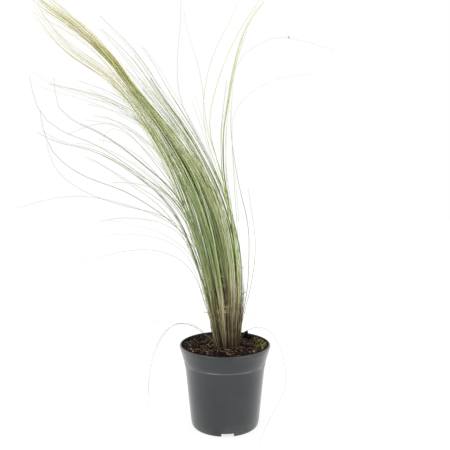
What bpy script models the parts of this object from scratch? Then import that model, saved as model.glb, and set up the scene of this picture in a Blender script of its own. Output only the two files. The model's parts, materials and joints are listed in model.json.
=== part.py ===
# Mexican feather grass growing in a round nursery pot of thin plastic.
# Metres, +Z up. The origin is the middle of the pot's underside, and -Y faces the viewer.
import math

import bmesh
import bpy
import numpy as np
from mathutils import Matrix, Vector, noise

MM = 0.001
SEED = 11

# Pot: a thin skirt stands on the ground round a raised drain channel and a flat centre pad
SIDES = 48
POT_HEIGHT = 107.5 * MM
RIM_RADIUS = 60 * MM
STEP_HEIGHT = 84 * MM
STEP_RADIUS = 53.8 * MM
COLLAR_RADIUS = 53.4 * MM
FOOT_RADIUS = 44.4 * MM
WALL = 1.4 * MM
PAD_RADIUS = 25 * MM
CHANNEL_DEPTH = 6 * MM
NOTCHES = 4
NOTCH_TURN = 4.5
NOTCH_WIDTH = 16 * MM
NOTCH_HEIGHT = 4.5 * MM
DRAINS = 8
DRAIN_RADIUS = 4 * MM

# Soil: a crumbly mound with one plain hole for the crown of the grass
SOIL_EDGE_HEIGHT = 103 * MM
SOIL_MOUND = 3.5 * MM
SOIL_GAP = 0.5 * MM
CRUMB_RELIEF = 2.2 * MM
CRUMB_SIZE = 7 * MM
CROWN_X = 3 * MM
CROWN_Y = -2 * MM
CROWN_RADIUS = 22.5 * MM
CROWN_DEPTH = 14 * MM

# Grass: blades of three sides stand out of a tapered sheath, one sheath to a lock
BLADE_ROOT = 0.75 * MM
BLADE_TIP = 0.42 * MM
BLADE_CLEAR = 0.35 * MM
SHEATH_SIDES = 6
SHEATH_RISE = 62 * MM
SHEATH_HOLD = 12 * MM
TRIES = 40

# Each lock's middle line runs through its path, in mm from where its sheath stands in the crown.
# sheath is the radius of its sheath and girth its half width, root to tip, both in mm.
# Its blades are between shortest and 1 of the path's length.
LOCKS = {
    "ponytail": dict(
        sheath=9.6, blades=46, shortest=0.55,
        girth=(6.6, 12, 15, 16, 13, 10, 7, 6, 6, 7, 11),
        path=(
            (3, -2, 103), (4, -2, 144), (2, -2, 175), (-3, -2, 210), (-12, -3, 254),
            (-25, -3, 297), (-46, -3, 340), (-74, -3, 383), (-103, -3, 417), (-123, -3, 441),
            (-137, -3, 461), (-153, -4, 479), (-173, -4, 499), (-188, -4, 512), (-204, -4, 525),
            (-225, -4, 542), (-248, -4, 564),
        ),
    ),
    "under_lock": dict(
        sheath=4.3, blades=12, shortest=0.6,
        girth=(2.9, 6, 7, 8, 8, 8, 8, 9, 9),
        path=(
            (-13, -4, 103), (-17, -4, 167), (-27, -5, 211), (-38, -6, 254), (-52, -7, 297),
            (-69, -8, 340), (-90, -9, 378), (-114, -10, 416), (-139, -11, 447), (-163, -11, 465),
            (-190, -12, 482), (-210, -13, 501), (-226, -13, 522), (-239, -14, 542),
        ),
    ),
    "left_fan": dict(
        sheath=4.3, blades=13, shortest=0.5,
        girth=(2.9, 6, 8, 12, 16, 19, 22, 24),
        path=(
            (-9, -13, 103), (-18, -19, 170), (-29, -25, 214), (-42, -31, 257), (-54, -36, 282),
            (-75, -42, 309), (-99, -47, 327), (-129, -54, 350), (-159, -61, 368), (-188, -68, 377),
            (-211, -74, 395), (-218, -79, 417), (-220, -84, 438),
        ),
    ),
    "front_lock": dict(
        sheath=4.3, blades=14, shortest=0.6,
        girth=(2.9, 6, 8, 11, 14, 17, 20, 24),
        path=(
            (0, -18, 103), (-4, -32, 173), (-10, -45, 217), (-19, -58, 259), (-32, -72, 299),
            (-48, -85, 334), (-67, -97, 357), (-85, -108, 376), (-103, -117, 390),
            (-123, -126, 397), (-142, -135, 400),
        ),
    ),
    "front_right_lock": dict(
        sheath=4.3, blades=15, shortest=0.6,
        girth=(2.9, 6, 8, 10, 12, 14, 17, 20),
        path=(
            (11, -16, 103), (10, -22, 170), (8, -27, 214), (1, -32, 257), (-10, -38, 298),
            (-27, -45, 339), (-48, -51, 374), (-70, -58, 407), (-90, -64, 435), (-109, -70, 458),
            (-125, -75, 477),
        ),
    ),
    "upright_lock": dict(
        sheath=4.3, blades=7, shortest=0.5,
        girth=(2.9, 5, 6, 7, 8, 10, 12, 16),
        path=(
            (18, -9, 103), (16, -11, 168), (15, -12, 212), (10, -13, 255), (4, -15, 298),
            (-2, -16, 331), (-3, -17, 365), (-2, -18, 390), (2, -19, 414), (6, -20, 443),
            (12, -21, 471), (19, -22, 497), (30, -23, 521), (47, -24, 542),
        ),
    ),
    "right_lock": dict(
        sheath=4.3, blades=14, shortest=0.6,
        girth=(2.9, 6, 7, 8, 9, 11, 13, 16),
        path=(
            (19, 2, 103), (19, 5, 165), (18, 7, 209), (12, 9, 253), (0, 11, 297), (-19, 13, 341),
            (-39, 15, 380), (-60, 16, 411), (-79, 18, 439), (-99, 20, 467), (-121, 21, 496),
            (-143, 23, 518), (-164, 24, 538),
        ),
    ),
    "crest_lock": dict(
        sheath=4.3, blades=15, shortest=0.6,
        girth=(2.9, 6, 8, 9, 11, 13, 15, 18),
        path=(
            (13, 11, 103), (14, 16, 162), (13, 21, 207), (6, 27, 251), (-8, 33, 296),
            (-28, 39, 342), (-52, 46, 381), (-79, 52, 418), (-105, 58, 452), (-129, 64, 484),
            (-152, 70, 512), (-173, 74, 534),
        ),
    ),
    "back_lock": dict(
        sheath=4.3, blades=14, shortest=0.6,
        girth=(2.9, 6, 8, 11, 14, 18, 21, 26),
        path=(
            (3, 14, 103), (5, 29, 159), (1, 42, 204), (-6, 55, 249), (-20, 69, 295),
            (-39, 83, 339), (-64, 96, 378), (-89, 108, 411), (-118, 119, 439), (-147, 130, 465),
            (-176, 140, 485),
        ),
    ),
    "high_fan": dict(
        sheath=4.3, blades=15, shortest=0.6,
        girth=(2.9, 6, 8, 10, 11, 12, 14, 16),
        path=(
            (-9, 9, 103), (-14, 13, 163), (-23, 17, 207), (-33, 21, 252), (-46, 27, 297),
            (-65, 32, 342), (-89, 38, 383), (-111, 42, 404), (-135, 46, 418), (-158, 49, 432),
            (-181, 53, 441), (-210, 57, 450), (-236, 60, 456), (-256, 63, 464), (-270, 66, 476),
        ),
    ),
}

# Single blades that stray from their lock, each along its own path
STRAYS = {
    "under_lock": (
        (
            (-33, -7, 189), (-50, -8, 215), (-75, -10, 230), (-105, -11, 235), (-139, -14, 231),
            (-169, -16, 223), (-198, -18, 215), (-232, -20, 212),
        ),
        (
            (-37, 0, 205), (-54, 1, 231), (-77, 3, 245), (-107, 5, 252), (-143, 7, 253),
            (-174, 9, 247), (-204, 11, 237), (-227, 12, 225), (-250, 14, 208),
        ),
        (
            (-37, 5, 214), (-54, 9, 246), (-75, 12, 263), (-104, 15, 271), (-145, 20, 273),
            (-178, 24, 265), (-198, 27, 250), (-211, 30, 232),
        ),
        (
            (-32, -15, 221), (-49, -20, 253), (-73, -25, 272), (-102, -30, 285), (-138, -37, 297),
            (-173, -44, 303), (-203, -50, 301), (-226, -55, 295), (-248, -60, 288),
        ),
        (
            (-33, -2, 127), (-51, -1, 134), (-71, 1, 135), (-95, 3, 136), (-118, 6, 145),
            (-135, 9, 164), (-143, 11, 186), (-140, 14, 208), (-131, 16, 222),
        ),
        (
            (-33, -9, 130), (-55, -14, 139), (-75, -21, 133), (-89, -30, 108), (-94, -42, 78),
            (-91, -54, 52), (-80, -62, 37),
        ),
        (
            (-31, -6, 129), (-50, -9, 138), (-71, -12, 135), (-88, -18, 110), (-96, -24, 80),
            (-98, -31, 47), (-99, -40, 8),
        ),
    ),
    "left_fan": (
        (
            (-27, -25, 205), (-39, -32, 239), (-56, -37, 261), (-79, -44, 281), (-99, -50, 295),
            (-121, -56, 308), (-147, -64, 317), (-165, -69, 324), (-179, -74, 333),
            (-193, -80, 345), (-200, -85, 360), (-204, -90, 376), (-204, -96, 394),
        ),
        (
            (-26, -18, 213), (-40, -20, 246), (-59, -22, 268), (-86, -25, 282), (-115, -27, 288),
            (-143, -29, 296), (-167, -32, 305), (-191, -34, 319), (-206, -36, 333),
            (-214, -38, 351), (-217, -40, 369),
        ),
        (
            (-26, -41, 199), (-38, -56, 231), (-57, -71, 252), (-78, -86, 265), (-102, -103, 273),
            (-124, -120, 279),
        ),
    ),
    "front_lock": (
        (
            (-6, -38, 182), (-14, -54, 222), (-25, -71, 256), (-40, -88, 284), (-57, -104, 304),
            (-77, -120, 315), (-96, -135, 320), (-114, -150, 320),
        ),
        (
            (6, -31, 181), (6, -44, 225), (3, -56, 263), (-3, -69, 299), (-10, -82, 330),
            (-19, -96, 359), (-27, -109, 383), (-34, -120, 403),
        ),
    ),
    "upright_lock": (
        (
            (18, -12, 186), (13, -15, 247), (5, -18, 294), (-6, -21, 333), (-15, -24, 364),
            (-20, -26, 385), (-19, -27, 407), (-13, -30, 431), (-6, -32, 453), (3, -34, 476),
            (12, -36, 493), (21, -38, 510), (35, -40, 528), (44, -42, 544),
        ),
        (
            (18, -15, 186), (12, -22, 256), (2, -29, 302), (-11, -35, 343), (-22, -40, 374),
            (-25, -44, 399), (-24, -48, 422), (-20, -53, 444), (-13, -57, 466), (-2, -62, 488),
            (10, -66, 506), (16, -70, 522),
        ),
        (
            (19, -10, 177), (18, -12, 238), (14, -14, 289), (11, -16, 340), (9, -18, 381),
            (9, -20, 422), (12, -22, 457), (19, -23, 471), (32, -24, 483), (51, -25, 493),
            (71, -26, 498), (84, -27, 494), (109, -28, 488), (135, -30, 479),
        ),
    ),
    "right_lock": (
        (
            (28, 0, 166), (31, -1, 192), (32, -3, 228), (32, -4, 254), (28, -6, 280),
            (21, -7, 306), (15, -9, 336), (11, -11, 361), (8, -12, 386), (8, -14, 411),
        ),
        (
            (30, 7, 164), (36, 10, 191), (40, 13, 221), (40, 17, 252), (34, 22, 288),
            (30, 26, 315),
        ),
        (
            (28, 4, 132), (39, 5, 144), (52, 7, 151), (82, 10, 154),
        ),
        (
            (31, -3, 128), (48, -8, 133), (64, -15, 123), (74, -25, 102), (77, -35, 79),
            (76, -43, 65), (68, -52, 49), (56, -63, 35), (45, -75, 20), (40, -84, 7),
        ),
    ),
    "crest_lock": (
        (
            (18, 14, 181), (15, 17, 234), (4, 21, 288), (-11, 24, 332), (-34, 28, 377),
            (-51, 31, 409), (-60, 33, 430), (-64, 35, 453), (-65, 37, 484), (-61, 41, 520),
            (-59, 44, 561), (-61, 46, 579),
        ),
        (
            (19, 19, 180), (17, 26, 233), (9, 35, 287), (-5, 44, 333), (-20, 52, 374),
            (-28, 57, 402), (-31, 62, 431), (-34, 68, 459), (-42, 75, 493), (-52, 81, 522),
            (-59, 85, 544), (-62, 90, 566),
        ),
        (
            (20, 16, 176), (21, 21, 234), (18, 27, 288), (13, 33, 342), (10, 37, 378),
            (11, 41, 410), (25, 45, 433), (48, 49, 450), (72, 52, 461), (99, 56, 466),
            (131, 60, 469),
        ),
    ),
    "back_lock": (
        (
            (3, 39, 176), (-1, 59, 220), (-12, 81, 266), (-27, 104, 309), (-46, 125, 347),
            (-67, 143, 376), (-92, 160, 398), (-121, 175, 413), (-150, 190, 422),
        ),
        (
            (11, 34, 177), (12, 54, 230), (7, 72, 276), (-1, 90, 319), (-13, 107, 359),
            (-27, 123, 395), (-38, 137, 427), (-47, 150, 457),
        ),
    ),
    "high_fan": (
        (
            (-20, 14, 190), (-33, 17, 234), (-51, 21, 279), (-73, 25, 319), (-96, 29, 349),
            (-115, 32, 372), (-132, 35, 390), (-151, 37, 400), (-170, 39, 403), (-193, 41, 397),
            (-217, 44, 387),
        ),
        (
            (-16, 23, 184), (-30, 36, 232), (-49, 49, 277), (-72, 62, 318), (-95, 73, 348),
            (-118, 83, 370), (-141, 92, 391), (-162, 99, 401), (-177, 104, 397), (-182, 110, 378),
        ),
        (
            (-16, 29, 182), (-28, 44, 222), (-45, 59, 258), (-67, 74, 291), (-95, 89, 319),
            (-127, 105, 344), (-164, 123, 367), (-198, 137, 381), (-232, 150, 385),
        ),
    ),
}
STRAY_STEPS = 8
LOCK_STEPS = 6
LONG_STEPS = 7
LONG_BLADE = 400 * MM
BEAD_STEP = 3 * MM

COLOURS = {
    "pot_plastic": ((0.085, 0.09, 0.095), 0.42),
    "potting_soil": ((0.045, 0.028, 0.018), 0.95),
    "green_blade": ((0.20, 0.30, 0.08), 0.55),
    "straw_blade": ((0.46, 0.42, 0.20), 0.6),
}


def plain_material(name):
    colour, roughness = COLOURS[name]
    material = bpy.data.materials.new(name)
    material.use_nodes = True
    shader = material.node_tree.nodes["Principled BSDF"]
    shader.inputs["Base Color"].default_value = (*colour, 1)
    shader.inputs["Roughness"].default_value = roughness
    shader.inputs["Metallic"].default_value = 0
    return material


def add_object(name, mesh, material=None):
    made = bpy.data.objects.new(name, mesh)
    bpy.context.scene.collection.objects.link(made)
    if material:
        mesh.materials.clear()
        mesh.materials.append(material)
    return made


def mesh_of(name, points, faces):
    mesh = bpy.data.meshes.new(name)
    mesh.from_pydata([tuple(p) for p in points], [], faces)
    mesh.validate()
    return mesh


def turned(name, profile):
    """A closed solid of revolution about Z, from an outline that starts and ends on the axis."""
    shape = bmesh.new()
    line = [shape.verts.new((r, 0, z)) for r, z in profile]
    edges = [shape.edges.new(pair) for pair in zip(line, line[1:])]
    bmesh.ops.spin(
        shape, geom=line + edges, cent=(0, 0, 0), axis=(0, 0, 1),
        angle=2 * math.pi, steps=SIDES, use_merge=True, use_duplicate=False,
    )
    bmesh.ops.remove_doubles(shape, verts=shape.verts, dist=0.01 * MM)
    bmesh.ops.recalc_face_normals(shape, faces=shape.faces)
    mesh = bpy.data.meshes.new(name)
    shape.to_mesh(mesh)
    shape.free()
    return mesh


def arc(centre_r, centre_z, radius, start, end, steps):
    """Points of a round corner in the profile, from one angle to another in degrees."""
    angles = np.radians(np.linspace(start, end, steps))
    return [(centre_r + radius * math.cos(a), centre_z + radius * math.sin(a)) for a in angles]


def solidified(made):
    """Puts the evaluated mesh, modifiers applied, back on the object."""
    graph = bpy.context.evaluated_depsgraph_get()
    mesh = bpy.data.meshes.new_from_object(made.evaluated_get(graph))
    made.modifiers.clear()
    made.data = mesh
    return made


def boolean(made, operation, others, solver="EXACT"):
    """Cuts or joins every object in others with one Boolean, applies it and removes them."""
    group = bpy.data.collections.new(made.name + "_tools")
    bpy.context.scene.collection.children.link(group)
    for other in others:
        bpy.context.scene.collection.objects.unlink(other)
        group.objects.link(other)
    cut = made.modifiers.new(operation.lower(), "BOOLEAN")
    cut.operation = operation
    cut.operand_type = "COLLECTION"
    cut.collection = group
    cut.solver = solver
    bpy.context.view_layer.update()
    solidified(made)
    for other in others:
        bpy.data.objects.remove(other)
    bpy.data.collections.remove(group)
    return made


def outer_skin(made):
    """Drops the inner skins of small pockets that crossing blades close off."""
    shape = bmesh.new()
    shape.from_mesh(made.data)
    shape.verts.ensure_lookup_table()
    seen = set()
    inner = []
    for start in shape.verts:
        if start in seen:
            continue
        seen.add(start)
        island, edge = [start], [start]
        while edge:
            for link in edge.pop().link_edges:
                for vertex in link.verts:
                    if vertex not in seen:
                        seen.add(vertex)
                        island.append(vertex)
                        edge.append(vertex)
        faces = {face for vertex in island for face in vertex.link_faces}
        volume = sum(face.calc_center_median().dot(face.normal) * face.calc_area() for face in faces)
        if volume < 0:
            inner += island
    bmesh.ops.delete(shape, geom=inner, context="VERTS")
    shape.to_mesh(made.data)
    shape.free()


def pot_outside():
    """The pot's outer profile from its foot to the top of its rim."""
    edge = 1.2 * MM
    return [
        (FOOT_RADIUS - 1.6 * MM, 0),
        (FOOT_RADIUS - 0.5 * MM, 0.5 * MM),
        (FOOT_RADIUS + 0.3 * MM, 3 * MM),
        (STEP_RADIUS - 1.9 * MM, STEP_HEIGHT - 12 * MM),
        (STEP_RADIUS, STEP_HEIGHT - 0.6 * MM),
        (STEP_RADIUS - 0.1 * MM, STEP_HEIGHT),
        (COLLAR_RADIUS, STEP_HEIGHT + 0.3 * MM),
        (RIM_RADIUS - 5.2 * MM, POT_HEIGHT - 20 * MM),
        (RIM_RADIUS - 3.8 * MM, POT_HEIGHT - 15 * MM),
        (RIM_RADIUS - 2.1 * MM, POT_HEIGHT - 9 * MM),
        (RIM_RADIUS - 0.8 * MM, POT_HEIGHT - 5.5 * MM),
        *arc(RIM_RADIUS - edge, POT_HEIGHT - edge, edge, -20, 130, 5),
    ]


def pot_inside():
    """The pot's inner profile, from just under the rim down to the floor and in to the axis."""
    floor = CHANNEL_DEPTH + WALL
    return [
        (RIM_RADIUS - 2.6 * MM, POT_HEIGHT - 4 * MM),
        (RIM_RADIUS - 3.5 * MM, POT_HEIGHT - 9 * MM),
        (RIM_RADIUS - 5.2 * MM, POT_HEIGHT - 15 * MM),
        (RIM_RADIUS - 6.6 * MM, POT_HEIGHT - 20 * MM),
        (STEP_RADIUS - 1.9 * MM - WALL, STEP_HEIGHT - 12 * MM),
        (FOOT_RADIUS + 0.9 * MM - WALL, floor + 1.5 * MM),
        (FOOT_RADIUS - 1 * MM - WALL, floor),
        (PAD_RADIUS + 2 * MM, floor),
        (PAD_RADIUS - 0.6 * MM, WALL),
        (0, WALL),
    ]


def make_pot():
    """The pot's shell with its drain holes through the channel and notches in the skirt."""
    skirt_in = FOOT_RADIUS - 3 * MM
    underside = [
        (0, 0),
        (PAD_RADIUS, 0),
        (PAD_RADIUS + 2.4 * MM, CHANNEL_DEPTH),
        (skirt_in - 0.6 * MM, CHANNEL_DEPTH),
        (skirt_in, 0),
    ]
    pot = add_object("nursery_pot", turned("nursery_pot", underside + pot_outside() + pot_inside()))
    cutters = []
    drain_ring = (PAD_RADIUS + skirt_in) / 2 + 1 * MM
    for n in range(DRAINS):
        angle = 2 * math.pi * (n + 0.5) / DRAINS
        shape = bmesh.new()
        at = Matrix.Translation((drain_ring * math.cos(angle), drain_ring * math.sin(angle), CHANNEL_DEPTH))
        bmesh.ops.create_cone(
            shape, cap_ends=True, segments=12, radius1=DRAIN_RADIUS, radius2=DRAIN_RADIUS,
            depth=3 * CHANNEL_DEPTH / 2, matrix=at,
        )
        cutters.append(cutter("drain", shape))
    for n in range(NOTCHES):
        turn = Matrix.Rotation(2 * math.pi * n / NOTCHES + math.radians(NOTCH_TURN), 4, "Z")
        size = Matrix.Diagonal((8 * MM, NOTCH_WIDTH, 2 * NOTCH_HEIGHT, 1))
        shape = bmesh.new()
        bmesh.ops.create_cube(shape, size=1, matrix=turn @ Matrix.Translation((FOOT_RADIUS - 1 * MM, 0, 0)) @ size)
        cutters.append(cutter("notch", shape))
    boolean(pot, "DIFFERENCE", cutters)
    finish(pot, "pot_plastic")
    return pot


def cutter(name, shape):
    mesh = bpy.data.meshes.new(name)
    bmesh.ops.recalc_face_normals(shape, faces=shape.faces)
    shape.to_mesh(mesh)
    shape.free()
    made = add_object(name, mesh)
    made.hide_render = True
    made.display_type = "WIRE"
    return made


def finish(made, material):
    """Smooth shading between soft edges, and the object's own material."""
    made.data.shade_smooth()
    made.data.set_sharp_from_angle(angle=math.radians(35))
    made.data.materials.clear()
    made.data.materials.append(plain_material(material))


def soil_height(x, y):
    """The mound's height over a point, with lumps that fade out at the pot's wall."""
    reach = math.hypot(x, y) / (RIM_RADIUS - 4.6 * MM)
    lump = noise.noise(Vector((x, y, 0.3)) / CRUMB_SIZE) + 0.6 * noise.noise(Vector((x, y, 2.1)) / (CRUMB_SIZE / 2))
    mound = SOIL_MOUND * max(0, 1 - reach**2)
    return SOIL_EDGE_HEIGHT + mound + CRUMB_RELIEF * lump * min(1, 3 * (1.02 - reach))


def make_soil():
    """Soil that fills the pot to its wall, with a lumpy top and a hole for the crown."""
    inside = [(max(0, r - SOIL_GAP), z + SOIL_GAP) for r, z in pot_inside()[1:]]
    wall_r, wall_z = inside[0]
    top = [(0, SOIL_EDGE_HEIGHT)]
    rings = 10
    for n in range(1, rings):
        top.append(((wall_r + 0.5 * MM) * n / rings, SOIL_EDGE_HEIGHT))
    top.append((wall_r + 0.7 * MM, SOIL_EDGE_HEIGHT))
    mesh = turned("potting_soil", top + inside)
    for vertex in mesh.vertices:
        if vertex.co.z > wall_z + 1 * MM:
            vertex.co.z = soil_height(vertex.co.x, vertex.co.y)
    soil = add_object("potting_soil", mesh)
    shape = bmesh.new()
    at = Matrix.Translation((CROWN_X, CROWN_Y, SOIL_EDGE_HEIGHT))
    bmesh.ops.create_cone(
        shape, cap_ends=True, segments=24, radius1=CROWN_RADIUS, radius2=CROWN_RADIUS,
        depth=2 * CROWN_DEPTH, matrix=at,
    )
    boolean(soil, "DIFFERENCE", [cutter("crown_hole", shape)])
    finish(soil, "potting_soil")
    return soil


def smoothed(points):
    """A line with its corners cut three times, which leaves it smooth."""
    line = np.asarray(points, float)
    for _ in range(3):
        before, after = line[:-1], line[1:]
        cut = np.stack([0.75 * before + 0.25 * after, 0.25 * before + 0.75 * after], axis=1)
        line = np.vstack([line[:1], cut.reshape(-1, 3), line[-1:]])
    return line


def resampled(points, count):
    """The same line as count + 1 points at even distances."""
    gaps = np.linalg.norm(np.diff(points, axis=0), axis=1)
    at = np.concatenate([[0], np.cumsum(gaps)])
    wanted = np.linspace(0, at[-1], count + 1)
    return np.stack([np.interp(wanted, at, points[:, k]) for k in range(3)], axis=1)


def length_of(points):
    return np.linalg.norm(np.diff(points, axis=0), axis=1).sum()


def frames(points):
    """Directions across a line at its points: one in the plane it bends in, one out of it."""
    ahead = np.gradient(points, axis=0)
    ahead /= np.linalg.norm(ahead, axis=1)[:, None]
    level = np.cross(ahead, [0, 1, 0])
    level /= np.linalg.norm(level, axis=1)[:, None]
    return level, np.cross(level, ahead)


def sheath_sizes(lock):
    """Distances up the path from the soil and radii of a sheath, from its foot to its point."""
    wide = lock["sheath"] * MM
    foot = -CROWN_DEPTH + BLADE_CLEAR
    rise = SHEATH_RISE * (1.35 if lock["sheath"] > 5 else 1)
    return [(foot, 0.8 * wide), (0, wide), (0.25 * rise, 0.86 * wide), (0.6 * rise, 0.55 * wide), (rise, 0.16 * wide)]


def sheath_path(lock):
    """The sheath's middle points with their radii: straight down into the soil, up the path."""
    line = smoothed(lock["path"]) * MM
    at = np.concatenate([[0], np.cumsum(np.linalg.norm(np.diff(line, axis=0), axis=1))])
    middle = []
    for reach, radius in sheath_sizes(lock):
        point = np.array([np.interp(max(reach, 0), at, line[:, k]) for k in range(3)])
        middle.append((point + [0, 0, min(reach, 0)], radius))
    return middle


def lock_blade(lock, number, tries, draw):
    """One blade of a lock, even in its girth but for a jitter that grows with the tries."""
    spread = min(1, 0.25 + 0.1 * tries)
    place = (number + 0.5 + spread * draw.uniform(-4, 4)) % lock["blades"]
    reach = math.sqrt(max(0.01, place / lock["blades"]))
    angle = 2.39996 * number + spread * draw.uniform(-1.5, 1.5)
    share = lock["shortest"] + (1 - lock["shortest"]) * draw.random() ** 0.8
    line = resampled(smoothed(lock["path"]) * MM, 120)
    away = reach * np.interp(np.linspace(0, 1, 121), np.linspace(0, 1, len(lock["girth"])), lock["girth"]) * MM
    level, deep = frames(line)
    points = line + away[:, None] * (math.cos(angle) * level + math.sin(angle) * deep)
    step = length_of(line) / 120
    reaches, radii = zip(*sheath_sizes(lock))
    cover = np.interp(np.arange(121) * step, reaches, radii)
    inside = np.flatnonzero((away < 0.75 * cover) & (np.arange(121) * step < reaches[-1]))
    start = max(0, inside[-1] - round(SHEATH_HOLD / step))
    return points[start: round(120 * share) + 1]


def stray_blade(lock, path, tries, draw):
    """A single blade out of the middle of its lock's sheath, jittered more with each try."""
    line = resampled(smoothed((lock["path"][0], *path)) * MM, 90)
    part = np.linspace(0, 1, 91)[:, None]
    return line + part * draw.normal(0, (1 + 0.4 * tries) * MM, 3)


def make_sheath(name, lock):
    """The tapered bundle of leaf sheaths that a lock's blades stand out of."""
    path = sheath_path(lock)
    verts = []
    for middle, radius in path:
        for k in range(SHEATH_SIDES):
            angle = 2 * math.pi * k / SHEATH_SIDES
            verts.append(middle + radius * np.array([math.cos(angle), math.sin(angle), 0]))
    faces = [tuple(reversed(range(SHEATH_SIDES)))]
    for ring in range(len(path) - 1):
        for k in range(SHEATH_SIDES):
            a, b = ring * SHEATH_SIDES + k, ring * SHEATH_SIDES + (k + 1) % SHEATH_SIDES
            faces.append((a, b, b + SHEATH_SIDES, a + SHEATH_SIDES))
    last = (len(path) - 1) * SHEATH_SIDES
    faces.append(tuple(range(last, last + SHEATH_SIDES)))
    return add_object(name, mesh_of(name, verts, faces))


def make_blade(points, steps):
    """A three-sided blade along its course, triangulated, tapering from root to tip."""
    line = resampled(points, steps)
    ahead = np.gradient(line, axis=0)
    ahead /= np.linalg.norm(ahead, axis=1)[:, None]
    guide = np.cross(ahead[0], [0.3, 1, 0.1])
    verts = []
    for n, (point, way) in enumerate(zip(line, ahead)):
        guide = guide - way * guide.dot(way)
        guide /= np.linalg.norm(guide)
        other = np.cross(way, guide)
        radius = BLADE_ROOT + (BLADE_TIP - BLADE_ROOT) * n / steps
        for k in range(3):
            angle = 2 * math.pi * k / 3
            verts.append(point + radius * (math.cos(angle) * guide + math.sin(angle) * other))
    faces = [(2, 1, 0)]
    for ring in range(steps):
        for k in range(3):
            a, b = 3 * ring + k, 3 * ring + (k + 1) % 3
            faces += [(a, b, b + 3), (a, b + 3, a + 3)]
    faces.append((3 * steps, 3 * steps + 1, 3 * steps + 2))
    return add_object("blade", mesh_of("blade", verts, faces))


def clears_pot(points):
    """Whether a blade that hangs over the rim stays outside the pot and above the ground."""
    out = np.hypot(points[:, 0], points[:, 1])
    low = points[:, 2] < POT_HEIGHT + 2 * MM
    outside = out > RIM_RADIUS + 2 * MM
    in_crown = np.hypot(points[:, 0] - CROWN_X, points[:, 1] - CROWN_Y) < CROWN_RADIUS - 1 * MM
    return bool((~low | outside | in_crown).all() and points[:, 2].min() > 2 * MM)


def beads(points, radii):
    """A line as close spheres, each a point and a radius, for the distance test."""
    at = np.concatenate([[0], np.cumsum(np.linalg.norm(np.diff(points, axis=0), axis=1))])
    wanted = np.linspace(0, at[-1], max(4, round(at[-1] / BEAD_STEP)))
    centres = [np.interp(wanted, at, points[:, k]) for k in range(3)]
    return np.stack([*centres, np.interp(wanted, at, radii)], axis=1)


def plan_grass():
    """Every blade's course, lock by lock, each clear of the blades and sheaths of other locks."""
    draw = np.random.default_rng(SEED)
    held = {}
    for name, lock in LOCKS.items():
        middle, radii = zip(*sheath_path(lock))
        held[name] = [beads(np.array(middle), radii)]
    courses = {name: [] for name in LOCKS}

    def settle(name, points):
        others = np.vstack([s for other, ss in held.items() if other != name for s in ss])
        close = beads(points, np.full(len(points), BLADE_ROOT))
        gaps = np.linalg.norm(close[:, None, :3] - others[None, :, :3], axis=2) - others[None, :, 3]
        if not clears_pot(close) or gaps.min() < BLADE_ROOT + BLADE_CLEAR:
            return False
        held[name].append(close)
        courses[name].append(points)
        return True

    for name, paths in STRAYS.items():
        for number, path in enumerate(paths):
            if not any(settle(name, stray_blade(LOCKS[name], path, n, draw)) for n in range(TRIES)):
                print("left out:", name, "stray", number)
    for name, lock in LOCKS.items():
        for number in range(lock["blades"]):
            if not any(settle(name, lock_blade(lock, number, n, draw)) for n in range(TRIES)):
                print("left out:", name, "blade", number)
    return courses


def make_grass():
    courses = plan_grass()
    for name, lock in LOCKS.items():
        sheath = make_sheath(name, lock)
        blades = []
        for number, points in enumerate(courses[name]):
            long = LONG_STEPS if length_of(points) > LONG_BLADE else LOCK_STEPS
            stray = number < len(STRAYS.get(name, ()))
            blades.append(make_blade(points, STRAY_STEPS if stray else long))
        boolean(sheath, "UNION", blades, "MANIFOLD")
        outer_skin(sheath)
        straw = name in ("ponytail", "under_lock", "upright_lock")
        finish(sheath, "straw_blade" if straw else "green_blade")
        print(name, len(blades), "blades", len(sheath.data.polygons), "faces")


for old in list(bpy.data.objects):
    bpy.data.objects.remove(old)
make_pot()
make_soil()
make_grass()
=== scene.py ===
# Mexican feather grass in its nursery pot: the look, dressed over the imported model.
import json
from math import cos, hypot, pi, radians, sin, sqrt

import bmesh
import bpy
import numpy as np
from mathutils import Matrix, Vector, noise

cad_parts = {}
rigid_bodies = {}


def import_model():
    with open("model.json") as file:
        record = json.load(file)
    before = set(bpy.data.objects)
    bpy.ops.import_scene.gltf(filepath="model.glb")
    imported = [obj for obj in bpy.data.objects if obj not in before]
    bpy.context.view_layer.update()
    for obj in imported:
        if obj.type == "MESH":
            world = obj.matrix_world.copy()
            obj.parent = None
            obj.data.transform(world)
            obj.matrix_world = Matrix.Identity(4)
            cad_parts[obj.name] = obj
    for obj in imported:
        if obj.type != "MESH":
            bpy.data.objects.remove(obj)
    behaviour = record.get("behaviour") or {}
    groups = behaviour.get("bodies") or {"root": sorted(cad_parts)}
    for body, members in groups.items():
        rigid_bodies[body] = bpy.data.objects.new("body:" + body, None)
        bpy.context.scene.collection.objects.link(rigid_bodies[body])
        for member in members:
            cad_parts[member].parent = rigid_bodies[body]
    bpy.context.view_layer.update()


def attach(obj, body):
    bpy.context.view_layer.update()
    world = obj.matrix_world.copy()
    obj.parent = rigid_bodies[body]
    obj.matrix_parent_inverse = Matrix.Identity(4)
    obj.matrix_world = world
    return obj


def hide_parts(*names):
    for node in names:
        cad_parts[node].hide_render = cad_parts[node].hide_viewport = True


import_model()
draw = np.random.default_rng(7)
mm = 0.001
anyTurn = 6.28  # near enough a full turn, for random angles
goldenAngle = 2.39996  # steps of this angle fill a round evenly

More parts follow.
